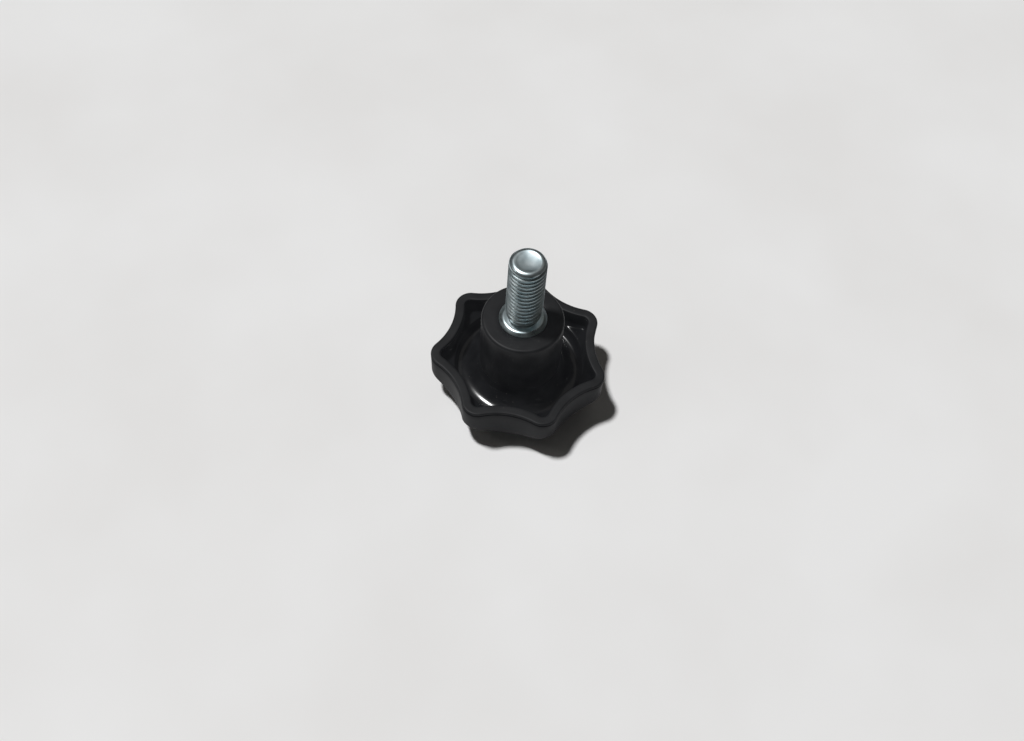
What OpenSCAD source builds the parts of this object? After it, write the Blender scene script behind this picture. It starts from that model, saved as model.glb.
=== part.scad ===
// Male threaded knob: a seven-lobed star head of black plastic, moulded round a zinc-plated
// steel stud. It stands on its crown with the stud pointing up, so its hollow side faces up.
// The origin is on the stud's axis, in the flat of the crown, and +Z runs along the stud.

/* [Star outline] */
// Diameter of the circle round the tips of the lobes
head_d = 50; // [42:1:64]
// Number of lobes
lobes = 7; // [6:1:9]
// Radius of each lobe's rounded tip
lobe_tip_r = 4.5; // [3.8:0.1:6]
// Depth of each flute below the tips of the lobes
flute_depth = 3.8; // [2.8:0.1:5]

/* [Head heights] */
// Height of the whole head, from the flat of the crown to the face of the hub
head_h = 32; // [28:0.5:40]
// Height of the rim of the star above the flat of the crown
rim_h = 16.2; // [14:0.2:19]
// Height of the domed crown's edge under the tip of a lobe
crown_rise = 8; // [5:0.2:9]
// Diameter of the flat in the middle of the crown
crown_flat_d = 14; // [6:1:20]
// Blend between the domed crown and the side of the star
crown_edge_r = 1; // [0.4:0.1:1.6]

/* [Rim and side wall] */
// Thickness of the star's wall
wall_t = 2.7; // [2:0.1:3.2]
// Radius of the rim's outer edge
rim_edge_r = 1; // [0.4:0.1:1.2]
// Radius of the rim's inner edge
rim_inner_r = 0.4; // [0.2:0.1:0.6]
// Height of the bead round the rim, above the groove
bead_h = 1.6; // [1.3:0.1:2.4]
// Width of the groove under the bead
groove_w = 0.6; // [0.3:0.1:1]
// Depth of the groove under the bead
groove_depth = 0.35; // [0.2:0.05:0.6]
// Draft of the outer wall, as its inset at the crown's edge
wall_draft = 0.2; // [0:0.05:0.5]

/* [Hollow side] */
// Depth of the star-shaped pocket below the rim
pocket_depth = 5; // [3:0.2:6]
// Radius between the pocket's wall and its floor
pocket_fillet_r = 1; // [0.4:0.1:1.4]
// Fall of the pocket's floor from the lobes to the edge of the well
floor_fall = 0.4; // [0.2:0.1:1]
// Gap between the round well and the pocket's wall, in the middle of a flute
well_gap = 0.2; // [0.1:0.1:2]
// Thickness of the crown under the well
well_floor_t = 7.2; // [5:0.2:9]
// Radius between the well's wall and its floor
well_fillet_r = 1; // [0.4:0.1:1.6]

/* [Hub] */
// Diameter of the hub at its shoulder
hub_d = 22.6; // [20:0.2:25]
// Radius of the hub's rounded shoulder
hub_edge_r = 0.9; // [0.4:0.1:2]
// Draft of the hub, as the widening from its shoulder to its foot
hub_draft = 0.2; // [0:0.1:1]
// Radius at the foot of the hub
hub_foot_r = 4.9; // [1:0.1:5.5]

/* [Stud] */
// Nominal diameter of the stud's thread
thread_d = 10; // [8:0.5:12]
// Pitch of the stud's thread
thread_pitch = 1.5; // [1:0.25:1.75]
// Length of the stud beyond the face of the hub
stud_len = 25; // [18:1:60]
// Height of the plain neck between the collar and the thread
neck_h = 3.5; // [1:0.1:5]
// Height of the chamfer at the stud's tip
tip_chamfer = 1.4; // [0.6:0.1:1.8]
// Depth of the cup in the stud's end
tip_cup = 0.8; // [0.1:0.1:1.2]

/* [Collar and anchor] */
// Diameter of the stud's collar, where it comes out of the hub
collar_d = 13.1; // [12.5:0.1:15]
// Height of the collar's bevel above the face of the hub
collar_h = 0.9; // [0.4:0.1:2]
// Width of the collar's bevel
collar_bevel = 1.4; // [0.3:0.1:1.8]
// Depth of the collar in the hub
collar_depth = 2; // [1:0.5:4]
// Width of the anchor across its flats
anchor_af = 13; // [11:0.5:15]
// Length of the anchor below the collar
anchor_len = 14; // [8:1:18]
// Width of the groove that the plastic grips
grip_w = 3; // [1:0.5:5]
// Depth of the groove that the plastic grips
grip_depth = 1.8; // [0.5:0.1:3]

/* [Hidden] */
// steps of the lobe's tip, of a flute and of the dome, and of each small radius
tip_steps = 8;
flute_steps = 8;
dome_steps = 5;
edge_steps = 3;
// steps of a small radius on what is turned
round_steps = 6;
// smoothness of what is turned
round_fn = 96;
// reach of a cut beyond the face it opens
over = 1;
// smallest radius that a lobe's tip keeps when the outline is drawn further in
least_tip_r = 0.4;

head_r = head_d/2;
crown_flat_r = crown_flat_d/2;
half_lobe = 180/lobes;
// the dome passes through the rim of the flat and through the crown's edge under the tips
dome_z = (head_r*head_r + crown_rise*crown_rise - crown_flat_r*crown_flat_r)/(2*crown_rise);
dome_r = norm([crown_flat_r, dome_z]);
// the dome's mesh starts at this circle, below the plane that cuts the flat
dome_start_r = crown_flat_r/2;
groove_top_z = rim_h - bead_h;
groove_low_z = groove_top_z - groove_w;
pocket_z = rim_h - pocket_depth;
well_r = head_r - flute_depth - wall_t - well_gap;
hub_r = hub_d/2;
hub_foot = hub_r + hub_draft;
tip_z = head_h + stud_len;
thread_r = thread_d/2;
// the root of a metric thread lies 0.6134 of the pitch below its crest
root_r = thread_r - 0.6134*thread_pitch;
collar_r = collar_d/2;
neck_top_z = head_h + collar_h + neck_h;
// the thread runs from the cone above the neck to the chamfer of the tip
thread_z = neck_top_z + thread_r - root_r;
chamfer_z = tip_z - tip_chamfer;
crest_w = thread_pitch/8;
flank_h = (thread_r - root_r)*tan(30);
anchor_z = head_h - collar_depth - anchor_len;
grip_z = anchor_z + anchor_len/2;

// height of the domed crown at a distance from the axis
function crown_z(r) = dome_z - sqrt(dome_r*dome_r - r*r);

function polar(r, a) = [r*cos(a), r*sin(a)];

// points along a small radius of a profile, from the angle a0 to a1 about the point [x, z]
function round_points(x, z, r, a0, a1) =
    [for (i = [0:round_steps]) [x, z] + polar(r, a0 + (a1 - a0)*i/round_steps)];

// The star's outline drawn a distance inside the full one: each lobe is a round tip, joined
// tangentially to the hollow arc of the flute beside it. A lobe points along +Y.
function star_outline(inset) =
    let (
        tip_r = max(lobe_tip_r - inset, least_tip_r),
        tip_at = head_r - inset - tip_r,
        waist_r = head_r - flute_depth - inset,
        reach = tip_at*cos(half_lobe),
        flute_r = (tip_at*tip_at + waist_r*waist_r - 2*reach*waist_r - tip_r*tip_r)
            /(2*(tip_r + reach - waist_r)),
        flute_at = waist_r + flute_r,
        across = polar(flute_at, half_lobe) - [tip_at, 0],
        turn = atan2(across.y, across.x)
    )
    [for (k = [0:lobes - 1], i = [0:tip_steps + flute_steps - 1])
        let (
            on_tip = i <= tip_steps,
            tip_a = -turn + 2*turn*i/tip_steps,
            flute_a = (turn - half_lobe)*(1 - 2*(i - tip_steps)/flute_steps),
            local = on_tip
                ? [tip_at, 0] + polar(tip_r, tip_a)
                : polar(flute_at, half_lobe) - polar(flute_r, half_lobe + flute_a),
            a = 90 + 2*half_lobe*k
        )
        [local.x*cos(a) - local.y*sin(a), local.x*sin(a) + local.y*cos(a)]];

// one level section of the star
function level_ring(inset, z) = [for (p = star_outline(inset)) [p.x, p.y, z]];

// a section that lies on the dome: a share of the way from the start circle to the star
function dome_ring(share, inset) =
    [for (p = star_outline(inset))
        let (
            r = dome_start_r + (norm(p) - dome_start_r)*share,
            q = p*(r/norm(p))
        )
        [q.x, q.y, crown_z(r)]];

// a section of the blend from the dome (t = 1) to the side wall (t = 0)
function edge_ring(t) =
    let (
        wall = star_outline(wall_draft),
        inner = star_outline(wall_draft + crown_edge_r),
        here = star_outline(wall_draft + t*t*crown_edge_r)
    )
    [for (i = [0:len(here) - 1])
        let (
            wall_z = crown_z(norm(wall[i])),
            inner_z = crown_z(norm(inner[i])),
            z = (1 - t)*(1 - t)*(wall_z + crown_edge_r) + 2*t*(1 - t)*wall_z + t*t*inner_z
        )
        [here[i].x, here[i].y, z]];

// sections round a small radius: from the angle a0 to a1 about the point [inset, z]
function round_rings(inset, z, r, a0, a1) =
    [for (i = [0:edge_steps])
        let (a = a0 + (a1 - a0)*i/edge_steps)
        level_ring(inset - r*cos(a), z + r*sin(a))];

// sections of the pocket's foot, which fades out in the flutes where the well is as wide
function pocket_rings() =
    [for (i = [0:edge_steps])
        let (a = 90*i/edge_steps)
        [for (p = star_outline(wall_t + pocket_fillet_r*(1 - cos(a))))
            let (q = p*max(1, well_r/norm(p)))
            [q.x, q.y, pocket_z + pocket_fillet_r*(1 - sin(a))]]];

// a round section, with its points under those of the pocket's wall
function well_ring(r, z) =
    [for (p = star_outline(wall_t))
        let (q = p*(r/norm(p)))
        [q.x, q.y, z]];

// sections of the well, from its edge down its wall and round to its floor
function well_rings() = concat(
    [well_ring(well_r, pocket_z - floor_fall)],
    [for (i = [0:edge_steps])
        let (a = 90*i/edge_steps)
        well_ring(
            well_r - well_fillet_r*(1 - cos(a)),
            well_floor_t + well_fillet_r*(1 - sin(a)))]
);

// the skin of the star: up the dome, round its edge, up the wall, over the groove and the
// bead, down into the pocket and the well
function star_rings() = concat(
    [for (i = [0:dome_steps - 1]) dome_ring(i/dome_steps, wall_draft + crown_edge_r)],
    [for (i = [edge_steps:-1:0]) edge_ring(i/edge_steps)],
    [level_ring(0, groove_low_z)],
    [level_ring(groove_depth, groove_low_z + groove_w/2)],
    [level_ring(0, groove_top_z)],
    round_rings(rim_edge_r, rim_h - rim_edge_r, rim_edge_r, 0, 90),
    round_rings(wall_t - rim_inner_r, rim_h - rim_inner_r, rim_inner_r, 90, 180),
    pocket_rings(),
    well_rings()
);

// joins sections that have the same number of points into one closed solid
module loft(rings) {
    n = len(rings[0]);
    points = [for (ring = rings) each ring];
    sides = [for (j = [0:len(rings) - 2], i = [0:n - 1])
        let (a = j*n + i, b = j*n + (i + 1)%n)
        each [[a, a + n, b], [b, a + n, b + n]]];
    base = [for (i = [0:n - 1]) i];
    top = [for (i = [n - 1:-1:0]) (len(rings) - 1)*n + i];
    polyhedron(points, concat([base], sides, [top]), convexity = 10);
}

// The hub: a drafted boss with a rounded shoulder and a rounded foot.
module hub() {
    rotate_extrude($fn = round_fn)
        polygon(concat(
            [[0, well_floor_t - over], [hub_foot + hub_foot_r, well_floor_t - over]],
            round_points(hub_foot + hub_foot_r, well_floor_t + hub_foot_r, hub_foot_r, 270, 180),
            round_points(hub_r - hub_edge_r, head_h - hub_edge_r, hub_edge_r, 0, 90),
            [[0, head_h]]
        ));
}

// The stud's anchor and the buried part of its collar. The plastic is moulded round this
// same shape, so the head's cavity repeats it.
module anchor() {
    cylinder_between(anchor_z, head_h - collar_depth, anchor_af/sqrt(3), 6);
    cylinder_between(head_h - collar_depth, head_h, collar_r, round_fn);
}

// The steel behind the groove that the plastic grips
module grip_core() {
    cylinder_between(grip_z - grip_w/2, grip_z + grip_w/2, anchor_af/2 - grip_depth, round_fn);
}

module cylinder_between(z0, z1, r, sides) {
    translate([0, 0, z0])
        cylinder(h = z1 - z0, r = r, $fn = sides);
}

// The steel inside the head: the anchor is cut by its grip groove.
module buried_steel() {
    difference() {
        anchor();
        cylinder_between(grip_z - grip_w/2, grip_z + grip_w/2, anchor_af, round_fn);
    }
    grip_core();
}

module star_head() {
    color("#1d1e20")
        difference() {
            union() {
                loft(star_rings());
                hub();
            }
            buried_steel();
            // the flat that the crown stands on
            translate([-head_r, -head_r, -crown_rise])
                cube([head_d, head_d, crown_rise]);
        }
}

// The thread's crests and roots, from the neck up: flat crests at the nominal diameter and
// flanks of 60 degrees. Each turn is drawn as a ring of its own, so the crests are true cylinders.
function thread_points() =
    let (turns = floor((chamfer_z - thread_z - crest_w)/thread_pitch))
    [for (i = [turns:-1:1])
        let (low = chamfer_z - i*thread_pitch, high = low + thread_pitch - crest_w)
        each [[thread_r, low], [root_r, low + flank_h], [root_r, high - flank_h], [thread_r, high]]];

// The stud is turned from one bar: hexagonal anchor, bevelled collar, plain neck, thread,
// and a chamfered, cupped tip.
module threaded_stud() {
    color("#aeb6bd")
        union() {
            buried_steel();
            rotate_extrude($fn = round_fn)
                polygon(concat(
                    [
                        [0, head_h - collar_depth],
                        [collar_r, head_h - collar_depth],
                        [collar_r, head_h],
                        [collar_r - collar_bevel, head_h + collar_h],
                        [root_r, head_h + collar_h],
                        [root_r, neck_top_z],
                        [thread_r, thread_z]
                    ],
                    thread_points(),
                    [
                        [thread_r, chamfer_z],
                        [thread_r - tip_chamfer, tip_z],
                        [0, tip_z - tip_cup]
                    ]
                ));
        }
}

star_head();
threaded_stud();
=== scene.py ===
import math

import bmesh
import bpy
import numpy as np
from mathutils import Matrix, Vector


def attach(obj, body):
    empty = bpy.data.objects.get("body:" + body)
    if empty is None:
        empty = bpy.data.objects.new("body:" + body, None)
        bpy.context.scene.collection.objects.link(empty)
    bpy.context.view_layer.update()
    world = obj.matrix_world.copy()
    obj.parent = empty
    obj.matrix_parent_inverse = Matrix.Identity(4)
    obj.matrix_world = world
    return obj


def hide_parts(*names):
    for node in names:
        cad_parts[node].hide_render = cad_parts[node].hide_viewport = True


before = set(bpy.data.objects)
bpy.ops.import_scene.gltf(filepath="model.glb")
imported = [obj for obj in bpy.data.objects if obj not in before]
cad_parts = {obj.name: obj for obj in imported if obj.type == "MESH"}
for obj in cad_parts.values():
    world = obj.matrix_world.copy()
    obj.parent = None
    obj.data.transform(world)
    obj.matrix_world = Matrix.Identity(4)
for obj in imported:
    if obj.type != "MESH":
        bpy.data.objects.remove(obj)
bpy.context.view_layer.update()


# ---------------------------------------------------------------- star head: its shape
# A seven-lobed hand knob of black thermoset, moulded in one piece. Its skin is one closed
# surface: crown, side wall, groove, rim, pocket, round well, hub and the seat of the stud's
# collar. Each section is the last one extruded and moved to its new place.
MM = 0.001
LOBES = 7
TIP_STEPS = 20
FLUTE_STEPS = 22
HEAD_R = 24.96 * MM
LOBE_TIP_R = 4.5 * MM
FLUTE_DEPTH = 3.8 * MM
HEAD_H = 32 * MM
RIM_H = 16.2 * MM
CROWN_RISE = 8 * MM
CROWN_FLAT_R = 7 * MM
CROWN_EDGE_R = 1 * MM
WALL_T = 2.7 * MM
WALL_DRAFT = 0.2 * MM
RIM_EDGE_R = 0.5 * MM
RIM_INNER_R = 0.4 * MM
RIM_SECTIONS = (1.1 * MM, 1.7 * MM)
LIP_H = 0.55 * MM
GROOVE_W = 0.6 * MM
GROOVE_DEPTH = 0.35 * MM
GROOVE_EDGE = 0.08 * MM
GROOVE_SOFT = 0.04 * MM
POCKET_SECTIONS = (1.5 * MM, 3 * MM)
LEDGE_Z = 11.2 * MM
LEDGE_FALL = 0.4 * MM
LEDGE_FILLET_R = 1 * MM
WELL_R = 18.3 * MM
WELL_LIP = 0.1 * MM
WELL_WALL_Z = 9.8 * MM
WELL_FILLET_R = 1.8 * MM
FLOOR_Z = 7.2 * MM
HUB_R = 11.3 * MM
HUB_FOOT = 11.5 * MM
HUB_FOOT_R = 4.9 * MM
HUB_EDGE_R = 0.9 * MM
FACE_SECTIONS = (9 * MM, 8 * MM)
COLLAR_R = 6.55 * MM
COLLAR_DEPTH = 2 * MM
SEAT_GAP = 0.02 * MM
SEAT_EDGE = 0.15 * MM


def polar(r, a):
    return Vector((r * math.cos(a), r * math.sin(a)))


def star_outline(inset):
    """The star drawn a distance inside its full outline, with a lobe along +Y."""
    half = math.pi / LOBES
    tip_r = LOBE_TIP_R - inset
    tip_at = HEAD_R - inset - tip_r
    waist = HEAD_R - FLUTE_DEPTH - inset
    reach = tip_at * math.cos(half)
    flute_r = (tip_at ** 2 + waist ** 2 - 2 * reach * waist - tip_r ** 2) / (
        2 * (tip_r + reach - waist))
    across = polar(waist + flute_r, half) - Vector((tip_at, 0))
    turn = math.atan2(across.y, across.x)
    spots = []
    for lobe in range(LOBES):
        aim = Matrix.Rotation(math.pi / 2 + 2 * half * lobe, 2)
        for i in range(TIP_STEPS):
            spot = Vector((tip_at, 0)) + polar(tip_r, -turn + 2 * turn * i / TIP_STEPS)
            spots.append(aim @ spot)
        for i in range(FLUTE_STEPS):
            a = (turn - half) * (1 - 2 * i / FLUTE_STEPS)
            spot = polar(waist + flute_r, half) - polar(flute_r, half + a)
            spots.append(aim @ spot)
    return spots


def star_ring(inset, z):
    return [(p.x, p.y, z) for p in star_outline(inset)]


def crown_z(r):
    """Height of the crown's dome at a distance from the axis."""
    centre = (HEAD_R ** 2 + CROWN_RISE ** 2 - CROWN_FLAT_R ** 2) / (2 * CROWN_RISE)
    return centre - math.sqrt(centre ** 2 + CROWN_FLAT_R ** 2 - r ** 2)


def dome_ring(share):
    """A section on the dome, a share of the way from its flat to the star's edge."""
    ring = []
    for p in star_outline(WALL_DRAFT + CROWN_EDGE_R):
        r = CROWN_FLAT_R + (p.length - CROWN_FLAT_R) * share
        q = p.normalized() * r
        ring.append((q.x, q.y, crown_z(r)))
    return ring


def edge_ring(t):
    """A section of the blend from the dome (t = 1) to the side wall (t = 0)."""
    wall = star_outline(WALL_DRAFT)
    inner = star_outline(WALL_DRAFT + CROWN_EDGE_R)
    here = star_outline(WALL_DRAFT + t * t * CROWN_EDGE_R)
    ring = []
    for w, n, h in zip(wall, inner, here):
        low = crown_z(w.length)
        z = (1 - t) ** 2 * (low + CROWN_EDGE_R) + 2 * t * (1 - t) * low
        ring.append((h.x, h.y, z + t * t * crown_z(n.length)))
    return ring


def rounded(x, z, r, start, end, steps):
    """Points of a profile round a small radius, angles in degrees."""
    turns = [math.radians(start + (end - start) * i / steps) for i in range(steps + 1)]
    return [(x + r * math.cos(a), z + r * math.sin(a)) for a in turns]


def level_star(profile):
    """Star sections for profile points given as distance outwards and height."""
    return [star_ring(-x, z) for x, z in profile]


def level_round(profile):
    """Round sections whose points keep the angles of the pocket's wall."""
    angles = [math.atan2(p.y, p.x) for p in star_outline(WALL_T)]
    return [[(r * math.cos(a), r * math.sin(a), z) for a in angles] for r, z in profile]


def ledge():
    """Sections from the pocket's wall, over its fillet, to the edge of the round well."""
    wall = np.array(star_outline(WALL_T))
    side = np.roll(wall, -1, axis=0) - wall
    edge = wall / np.linalg.norm(wall, axis=1)[:, None] * (WELL_R + WELL_LIP)
    reach = HEAD_R - WALL_T - WELL_R - WELL_LIP
    shares = [LEDGE_FILLET_R / reach * (1 - math.cos(math.radians(a)))
              for a in range(0, 91, 10)]
    rings = []
    for share in shares + [0.4, 0.6, 0.8, 1]:
        spots = wall + (edge - wall) * share
        away = spots[:, None] - wall[None]
        along = np.clip((away * side).sum(2) / (side ** 2).sum(1), 0, 1)
        depth = np.linalg.norm(away - along[..., None] * side, axis=2).min(1)
        left = np.clip(LEDGE_FILLET_R - depth, 0, LEDGE_FILLET_R)
        rise = LEDGE_FILLET_R - np.sqrt(LEDGE_FILLET_R ** 2 - left ** 2)
        height = LEDGE_Z + rise - LEDGE_FALL * share
        rings.append([(x, y, z) for (x, y), z in zip(spots, height)])
    return rings


groove_top = RIM_H - LIP_H
groove_low = groove_top - GROOVE_W
groove_mid = groove_low + GROOVE_W / 2
outside = [dome_ring(i / 12) for i in range(1, 12)]
outside += [edge_ring(1 - i / 8) for i in range(9)]
outside += level_star([
    (-WALL_DRAFT * 0.5, groove_low - 2 * MM),
    (-GROOVE_EDGE / 4, groove_low - 2 * GROOVE_SOFT),
    (-GROOVE_EDGE * 3 / 8, groove_low - GROOVE_SOFT),
    (-GROOVE_EDGE, groove_low),
    (-GROOVE_DEPTH * 0.8, groove_mid - GROOVE_SOFT),
    (-GROOVE_DEPTH, groove_mid),
    (-GROOVE_DEPTH * 0.8, groove_mid + GROOVE_SOFT),
    (-GROOVE_EDGE, groove_top),
    (-GROOVE_EDGE * 3 / 8, groove_top + GROOVE_SOFT),
    (0, groove_top + 2 * GROOVE_SOFT),
])
rim = level_star(rounded(-RIM_EDGE_R, RIM_H - RIM_EDGE_R, RIM_EDGE_R, 0, 90, 10))
rim += level_star([(-inset, RIM_H) for inset in RIM_SECTIONS])
rim += level_star(rounded(
    RIM_INNER_R - WALL_T, RIM_H - RIM_INNER_R, RIM_INNER_R, 90, 180, 5))
pocket = level_star([(-WALL_T, RIM_H - depth) for depth in POCKET_SECTIONS])
pocket += ledge()
edge = pocket[-1]
for inward, drop in ((0.7, 0.4), (1, 1)):
    squeeze = 1 - inward * WELL_LIP / (WELL_R + WELL_LIP)
    pocket.append([(x * squeeze, y * squeeze, z - drop * WELL_LIP) for x, y, z in edge])
pocket += level_round([(WELL_R, WELL_WALL_Z)])
pocket += level_round(rounded(
    WELL_R - WELL_FILLET_R, FLOOR_Z + WELL_FILLET_R, WELL_FILLET_R, 0, -90, 12))
pocket += level_round(rounded(
    HUB_FOOT + HUB_FOOT_R, FLOOR_Z + HUB_FOOT_R, HUB_FOOT_R, 270, 180, 24))
hub_low = FLOOR_Z + HUB_FOOT_R
hub_top = HEAD_H - HUB_EDGE_R
flank = level_round([
    (HUB_FOOT + (HUB_R - HUB_FOOT) * i / 8, hub_low + (hub_top - hub_low) * i / 8)
    for i in range(1, 8)])
face = level_round(rounded(HUB_R - HUB_EDGE_R, hub_top, HUB_EDGE_R, 0, 90, 12))
face += level_round([(r, HEAD_H) for r in FACE_SECTIONS])
face += level_round([
    (COLLAR_R + SEAT_EDGE, HEAD_H),
    (COLLAR_R + SEAT_EDGE * 0.4, HEAD_H - 0.04 * MM),
    (COLLAR_R + SEAT_GAP, HEAD_H - SEAT_EDGE),
    (COLLAR_R + SEAT_GAP, HEAD_H - COLLAR_DEPTH - SEAT_GAP),
])


def edges_of(bm, loop):
    return [bm.edges.get((v, loop[i - 1])) for i, v in enumerate(loop)]


def walk(bm, loop, rings, layer, value):
    """Extrudes an open loop of vertices through the rings, and marks the new ones."""
    for ring in rings:
        made = bmesh.ops.extrude_edge_only(bm, edges=edges_of(bm, loop))["geom"]
        fresh = {v for v in made if isinstance(v, bmesh.types.BMVert)}
        loop = [next(e.other_vert(v) for e in v.link_edges if e.other_vert(v) in fresh)
                for v in loop]
        for v, spot in zip(loop, ring):
            v.co = spot
            v[layer] = value
    return loop


def finished(bm, name, sharp_angle):
    """Turns a closed bmesh into a smooth object whose hard edges stay crisp."""
    bmesh.ops.recalc_face_normals(bm, faces=bm.faces)
    mesh = bpy.data.meshes.new(name)
    bm.to_mesh(mesh)
    bm.free()
    mesh.shade_smooth()
    mesh.set_sharp_from_angle(angle=math.radians(sharp_angle))
    piece = bpy.data.objects.new(name, mesh)
    bpy.context.scene.collection.objects.link(piece)
    return piece


bm = bmesh.new()
bm.verts.layers.float.new("gloss")
bm.verts.layers.float.new("worn")
gloss = bm.verts.layers.float["gloss"]
worn = bm.verts.layers.float["worn"]
crown_edge = star_outline(WALL_DRAFT + CROWN_EDGE_R)
bmesh.ops.create_circle(bm, cap_ends=True, radius=CROWN_FLAT_R, segments=len(crown_edge))
loop = list(bm.verts)
for v, p in zip(loop, crown_edge):
    q = p.normalized() * CROWN_FLAT_R
    v.co = (q.x, q.y, 0)
loop = walk(bm, loop, outside, gloss, 0.0)
loop = walk(bm, loop, rim, worn, 1.0)
loop = walk(bm, loop, pocket, gloss, 1.0)
loop = walk(bm, loop, flank, gloss, 0.5)
loop = walk(bm, loop, face, gloss, 0.0)
bmesh.ops.edgeloop_fill(bm, edges=edges_of(bm, loop))
head = finished(bm, "star_head_moulding", 38)


# ---------------------------------------------------------------- star head: its plastic
# Black thermoset. The pocket keeps the mould's polish, and the faces that the hand and the work touch
# are satin, with a fine grain, slight flow clouds and a few dust specks. The same colour also glows
# faintly: painted light that lifts its shade.
def new_material(name):
    """A material with its node tree, its shader and the object coordinates."""
    mat = bpy.data.materials.new(name)
    mat.use_nodes = True
    tree = mat.node_tree
    tree.nodes.clear()
    out = tree.nodes.new("ShaderNodeOutputMaterial")
    shader = tree.nodes.new("ShaderNodeBsdfPrincipled")
    tree.links.new(shader.outputs["BSDF"], out.inputs["Surface"])
    where = tree.nodes.new("ShaderNodeTexCoord").outputs["Object"]
    return mat, tree, shader, where


def ramp(tree, source, low, high, start, end):
    """Maps a value between low and high to the range from start to end."""
    made = tree.nodes.new("ShaderNodeMapRange")
    for key, value in (("From Min", low), ("From Max", high), ("To Min", start),
                       ("To Max", end)):
        made.inputs[key].default_value = value
    tree.links.new(source, made.inputs["Value"])
    return made.outputs["Result"]


def noise(tree, where, scale, detail):
    made = tree.nodes.new("ShaderNodeTexNoise")
    made.inputs["Scale"].default_value = scale
    made.inputs["Detail"].default_value = detail
    tree.links.new(where, made.inputs["Vector"])
    return made.outputs["Fac"]


def attribute(tree, name):
    made = tree.nodes.new("ShaderNodeAttribute")
    made.attribute_name = name
    return made.outputs["Fac"]


def two_tones(tree, factor, first, second):
    """A colour that goes from the first, as red, green and blue, to the second."""
    made = tree.nodes.new("ShaderNodeMix")
    made.data_type = "RGBA"
    made.inputs["A"].default_value = (*first, 1)
    made.inputs["B"].default_value = (*second, 1)
    tree.links.new(factor, made.inputs["Factor"])
    return made


def total(tree, first, second):
    made = tree.nodes.new("ShaderNodeMath")
    made.operation = "ADD"
    tree.links.new(first, made.inputs[0])
    tree.links.new(second, made.inputs[1])
    return made.outputs["Value"]


def bumps(tree, shader, height, distance):
    """Raises the surface by a texture. The node is returned for its strength."""
    made = tree.nodes.new("ShaderNodeBump")
    made.inputs["Distance"].default_value = distance
    tree.links.new(height, made.inputs["Height"])
    tree.links.new(made.outputs["Normal"], shader.inputs["Normal"])
    return made


plastic, tree, shader, where = new_material("black_thermoset")
link = tree.links.new
shader.inputs["IOR"].default_value = 1.5
grain = noise(tree, where, 3200, 3)
clouds = noise(tree, where, 190, 4)
gloss = attribute(tree, "gloss")
worn = attribute(tree, "worn")
specks = tree.nodes.new("ShaderNodeTexVoronoi")
specks.inputs["Scale"].default_value = 420
link(where, specks.inputs["Vector"])

tone = two_tones(
    tree, ramp(tree, clouds, 0.3, 0.7, 0, 1), (0.0045, 0.0047, 0.0053), (0.0075, 0.0078, 0.0085))
dust_and_glow = two_tones(
    tree, ramp(tree, specks.outputs["Distance"], 0.09, 0.03, 0, 0.6), (0, 0, 0), (0.028, 0.027, 0.025))
link(tone.outputs["Result"], dust_and_glow.inputs["A"])
link(dust_and_glow.outputs["Result"], shader.inputs["Base Color"])
# The colour, specks included, is also emitted: a painted glow that lifts the black plastic, its shaded
# pocket and its shadowed faces above what the lamps give.
link(dust_and_glow.outputs["Result"], shader.inputs["Emission Color"])
shader.inputs["Emission Strength"].default_value = 1.0

rough = tree.nodes.new("ShaderNodeMix")
link(gloss, rough.inputs["Factor"])
link(ramp(tree, clouds, 0.3, 0.7, 0.46, 0.52), rough.inputs["A"])
link(ramp(tree, clouds, 0.3, 0.7, 0.16, 0.20), rough.inputs["B"])
link(rough.outputs["Result"], shader.inputs["Roughness"])
height = tree.nodes.new("ShaderNodeSeparateXYZ")
link(where, height.inputs["Vector"])
mirror = tree.nodes.new("ShaderNodeMix")
link(gloss, mirror.inputs["Factor"])
link(ramp(tree, worn, 0, 1, 0.09, 0.19), mirror.inputs["A"])
link(ramp(tree, height.outputs["Z"], 10.2 * MM, 10.9 * MM, 0.5, 0.06), mirror.inputs["B"])
link(mirror.outputs["Result"], shader.inputs["Specular IOR Level"])

bump = bumps(tree, shader, grain, 0.01 * MM)
link(ramp(tree, gloss, 0, 1, 0.5, 0.1), bump.inputs["Strength"])

head.data.materials.append(plastic)
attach(head, "root")
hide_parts("star_head")


# ---------------------------------------------------------------- threaded stud: its shape
# M10 x 1.5 stud of zinc-plated steel, 25 mm long, with a rolled right-hand thread, a plain
# neck, and a bevelled collar seated in the hub. The thread is one profile spun upwards, and
# the neck, the collar and the cupped tip are extruded from its two trimmed ends.
PITCH = 1.5 * MM
CREST_R = 5 * MM
ROOT_R = CREST_R - 0.6134 * PITCH
NECK_TOP = HEAD_H + 2.3 * MM
NECK_FOOT_R = 0.2 * MM
THREAD_START = 2.29 * MM
THREAD_CUT_LOW = 0.02 * MM
THREAD_CUT_HIGH = 0.35 * MM
RUNOUT_SLOPE = 0.8
COLLAR_TOP = HEAD_H + 0.9 * MM
COLLAR_LAND_R = 5.1 * MM
COLLAR_BEVEL_R = 1.2 * MM
COLLAR_EDGE_R = 0.12 * MM
TIP_Z = HEAD_H + 25 * MM
TIP_ROUND = 1.5 * MM
CUP_EDGE_R = 3.35 * MM
CUP_R = 3.05 * MM
CUP_STEP = 0.14 * MM
CUP_DEPTH = 0.28 * MM
CUP_STEPS = 8
TURN_STEPS = 96


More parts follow.
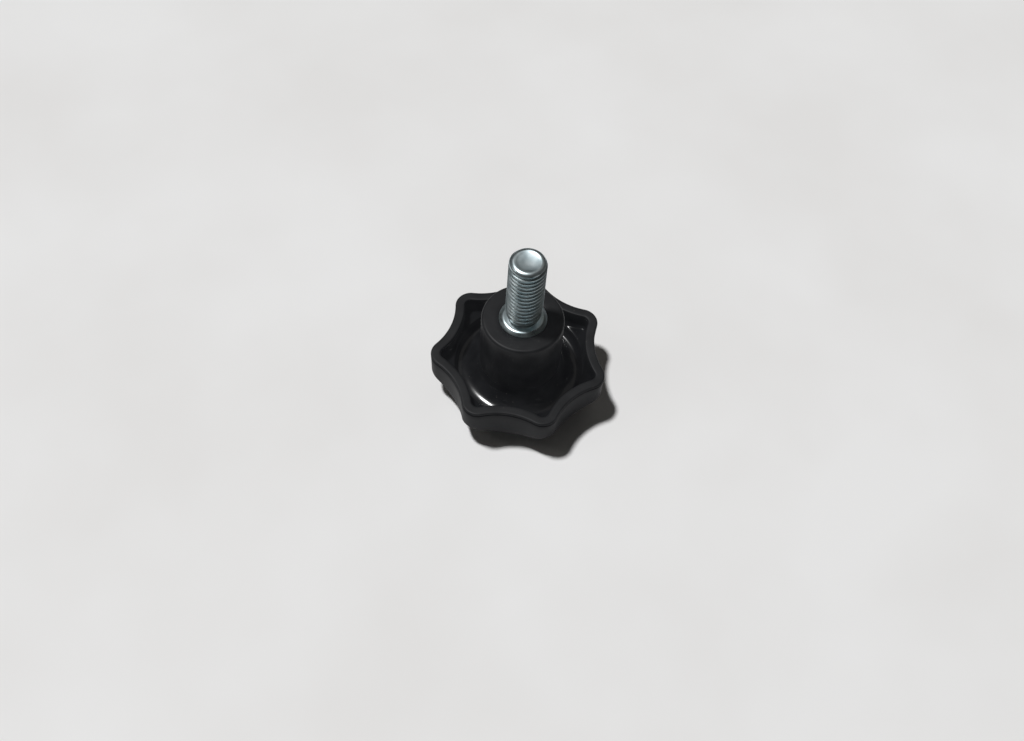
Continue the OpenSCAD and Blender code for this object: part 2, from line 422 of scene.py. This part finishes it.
def thread_profile():
    """Half-rounded crest and root of a rolled thread over one pitch, as (radius, height)."""
    corners = [(0, 0), (0.0625, 0.0), (0.105, 0.035), (0.15, 0.12), (0.40, 0.90),
               (0.43, 0.965), (0.4575, 1.0), (0.5425, 1.0), (0.57, 0.965), (0.60, 0.90),
               (0.85, 0.12), (0.895, 0.035), (0.9375, 0.0), (1, 0)]
    points = []
    for (z0, h0), (z1, h1) in zip(corners, corners[1:]):
        steps = 4 if abs(h1 - h0) > 0.5 else 1
        for i in range(steps):
            points.append((z0 + (z1 - z0) * i / steps, h0 + (h1 - h0) * i / steps))
    points.append(corners[-1])
    return [(ROOT_R + h * (CREST_R - ROOT_R), z * PITCH) for z, h in points]


bm = bmesh.new()
sheared = bm.verts.layers.float.new("sheared")
turns = math.ceil((TIP_Z - NECK_TOP) / PITCH) + 2
row = [bm.verts.new((r, 0, NECK_TOP - THREAD_START + z)) for r, z in thread_profile()]
for a, b in zip(row, row[1:]):
    bm.edges.new((a, b))
bmesh.ops.spin(
    bm, geom=bm.verts[:] + bm.edges[:], axis=(0, 0, 1), dvec=(0, 0, PITCH / TURN_STEPS),
    angle=2 * math.pi * turns, steps=TURN_STEPS * turns)
bmesh.ops.remove_doubles(bm, verts=bm.verts, dist=0.004 * MM)
cut_low = NECK_TOP + THREAD_CUT_LOW
cut_high = TIP_Z - THREAD_CUT_HIGH
for v in bm.verts:
    r = math.hypot(v.co.x, v.co.y)
    over = max(v.co.z - TIP_Z + TIP_ROUND, 0)
    most = CREST_R - TIP_ROUND + math.sqrt(max(TIP_ROUND ** 2 - over ** 2, 0))
    most = min(ROOT_R + RUNOUT_SLOPE * max(v.co.z - cut_low, 0), most)
    if r > most:
        v.co.x *= most / r
        v.co.y *= most / r
for z, up in ((cut_low, -1), (cut_high, 1)):
    bmesh.ops.bisect_plane(
        bm, geom=bm.verts[:] + bm.edges[:] + bm.faces[:], dist=0.001 * MM,
        plane_co=(0, 0, z), plane_no=(0, 0, up), clear_outer=True)


def end_loop(bm, z):
    """The vertices of the open loop at a height, in order round the axis."""
    edges = [e for e in bm.edges if e.is_boundary
             and all(abs(v.co.z - z) < 0.01 * MM for v in e.verts)]
    verts = {v for e in edges for v in e.verts}
    return sorted(verts, key=lambda v: math.atan2(v.co.y, v.co.x))


def round_rings(loop, profile):
    """Round sections whose points keep the angles of a loop."""
    angles = [math.atan2(v.co.y, v.co.x) for v in loop]
    return [[(r * math.cos(a), r * math.sin(a), z) for a in angles] for r, z in profile]


low = end_loop(bm, cut_low)
foot = [(ROOT_R, NECK_TOP - 0.3 * MM)]
foot += rounded(ROOT_R + NECK_FOOT_R, COLLAR_TOP + NECK_FOOT_R, NECK_FOOT_R, 180, 270, 4)
foot += rounded(COLLAR_LAND_R, COLLAR_TOP - COLLAR_BEVEL_R, COLLAR_BEVEL_R, 90, 48, 6)
foot += rounded(COLLAR_R - COLLAR_EDGE_R, HEAD_H + COLLAR_EDGE_R, COLLAR_EDGE_R, 45, 0, 3)
foot += [(COLLAR_R, HEAD_H - 0.3 * MM), (COLLAR_R, HEAD_H - COLLAR_DEPTH)]
loop = walk(bm, low, round_rings(low, foot), sheared, 0.0)
bmesh.ops.edgeloop_fill(bm, edges=edges_of(bm, loop))

high = end_loop(bm, cut_high)
tip = rounded(CREST_R - TIP_ROUND, TIP_Z - TIP_ROUND, TIP_ROUND, 54, 86, 6)
cup = [(CUP_EDGE_R, TIP_Z - 0.02 * MM)]
for i in range(CUP_STEPS):
    out = 1 - i / CUP_STEPS
    cup.append((CUP_R * out, TIP_Z - CUP_STEP - CUP_DEPTH * (1 - out ** 2)))
loop = walk(bm, high, round_rings(high, tip), sheared, 0.0)
loop = walk(bm, loop, round_rings(high, cup), sheared, 1.0)
bmesh.ops.edgeloop_fill(bm, edges=edges_of(bm, loop))
stud = finished(bm, "threaded_stud_m10", 35)


# ---------------------------------------------------------------- threaded stud: its metal
# Bright zinc plating with a blue passivation: a soft gloss that varies in fine bands round
# the axis from the rolling, faint cloudy tints, and a duller sheared tip.
zinc, tree, shader, where = new_material("blue_zinc_plating")
link = tree.links.new
shader.inputs["Metallic"].default_value = 1
stretch = tree.nodes.new("ShaderNodeMapping")
stretch.inputs["Scale"].default_value = (0.25, 0.25, 5)
link(where, stretch.inputs["Vector"])
bands = noise(tree, stretch.outputs["Vector"], 900, 3)
clouds = noise(tree, where, 420, 4)
tone = two_tones(
    tree, ramp(tree, clouds, 0.3, 0.7, 0, 1), (0.43, 0.52, 0.55), (0.56, 0.63, 0.65))
link(tone.outputs["Result"], shader.inputs["Base Color"])

rolled = total(
    tree, ramp(tree, clouds, 0.3, 0.7, 0.27, 0.34), ramp(tree, bands, 0.3, 0.7, -0.03, 0.05))
dull_tip = ramp(tree, attribute(tree, "sheared"), 0, 1, 0, 0.14)
link(total(tree, rolled, dull_tip), shader.inputs["Roughness"])
bump = bumps(tree, shader, bands, 0.004 * MM)
bump.inputs["Strength"].default_value = 0.4

stud.data.materials.append(zinc)
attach(stud, "root")
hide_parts("threaded_stud")


# ---------------------------------------------------------------- floor
# A plain pale tabletop under the knob.
bm = bmesh.new()
bmesh.ops.create_grid(bm, x_segments=1, y_segments=1, size=6)
table = finished(bm, "tabletop", 30)
pale, tree, shader, where = new_material("pale_tabletop")
shader.inputs["Roughness"].default_value = 0.6
shader.inputs["Specular IOR Level"].default_value = 0.2
clouds = noise(tree, where, 14, 3)
tone = two_tones(
    tree, ramp(tree, clouds, 0.35, 0.65, 0, 1), (0.76, 0.755, 0.75), (0.80, 0.80, 0.80))
tree.links.new(tone.outputs["Result"], shader.inputs["Base Color"])
table.data.materials.append(pale)


# ---------------------------------------------------------------- light
# A strong lamp high on the left and slightly behind, two weak ones lower on the left and
# behind, and a weak even fill. The room behind the table is pale only where it is seen.
TURNED = Matrix.Rotation(math.radians(4.32), 3, "Z")
FILL_DISTANCE = 1.5


def add_lamp(name, kind, power, toward):
    """A lamp that shines on the knob from a direction. Area lamps stand at one distance."""
    lamp = bpy.data.lights.new(name, kind)
    lamp.energy = power
    aim = (TURNED @ Vector(toward)).normalized()
    holder = bpy.data.objects.new(name, lamp)
    holder.location = aim * FILL_DISTANCE
    holder.rotation_mode = "QUATERNION"
    holder.rotation_quaternion = aim.to_track_quat("Z", "Y")
    bpy.context.scene.collection.objects.link(holder)
    return lamp


key = add_lamp("key", "SUN", 3.0, (-0.338, 0.075, 1))
key.angle = math.radians(6.1)
for name, toward, size, power in (
        ("left_fill", (-0.65, -0.12, 0.75), 0.34, 0.42),
        ("back_fill", (0.35, 0.65, 0.95), 1.2, 0.55)):
    lamp = add_lamp(name, "AREA", power, toward)
    lamp.shape = "DISK"
    lamp.size = size
    lamp.color = (1, 0.97, 0.92)

world = bpy.data.worlds.new("room")
world.use_nodes = True
sky = world.node_tree.nodes["Background"]
sky.inputs["Color"].default_value = (1, 0.97, 0.91, 1)
ray = world.node_tree.nodes.new("ShaderNodeLightPath")
seen = ramp(world.node_tree, ray.outputs["Is Camera Ray"], 0, 1, 0.034, 0.76)
world.node_tree.links.new(seen, sky.inputs["Strength"])
bpy.context.scene.world = world
bpy.context.scene.view_settings.view_transform = "Standard"


# ---------------------------------------------------------------- camera
# It looks down at the knob from the front at 57.7 degrees, with a slight roll. The lens is
# given in pixels of a picture 1024 wide.
RISE = math.radians(57.67)
ROLL = math.radians(5)
CAMERA_DISTANCE = 336.79 * MM
SHIFT_SIDE = -2.21 * MM
SHIFT_UP = -5.26 * MM
TARGET_Z = 15.25 * MM
PICTURE_W = 1024
LENS_PX = 1200.09
SENSOR_W = 36

right = Vector((1, 0, 0))
up = Vector((0, math.sin(RISE), math.cos(RISE)))
back = Vector((0, -math.cos(RISE), math.sin(RISE)))
side_axis = right * math.cos(ROLL) + up * math.sin(ROLL)
up_axis = up * math.cos(ROLL) - right * math.sin(ROLL)
place = back * CAMERA_DISTANCE + side_axis * SHIFT_SIDE + up_axis * SHIFT_UP
axes = [TURNED @ axis for axis in (side_axis, up_axis, back)]
lens = bpy.data.cameras.new("camera")
lens.sensor_width = SENSOR_W
lens.lens = LENS_PX / PICTURE_W * SENSOR_W
lens.clip_start = 0.01
camera = bpy.data.objects.new("camera", lens)
camera.rotation_mode = "QUATERNION"
camera.rotation_quaternion = Matrix(axes).transposed().to_quaternion()
camera.location = TURNED @ place + Vector((0, 0, TARGET_Z))
bpy.context.scene.collection.objects.link(camera)
bpy.context.scene.camera = camera
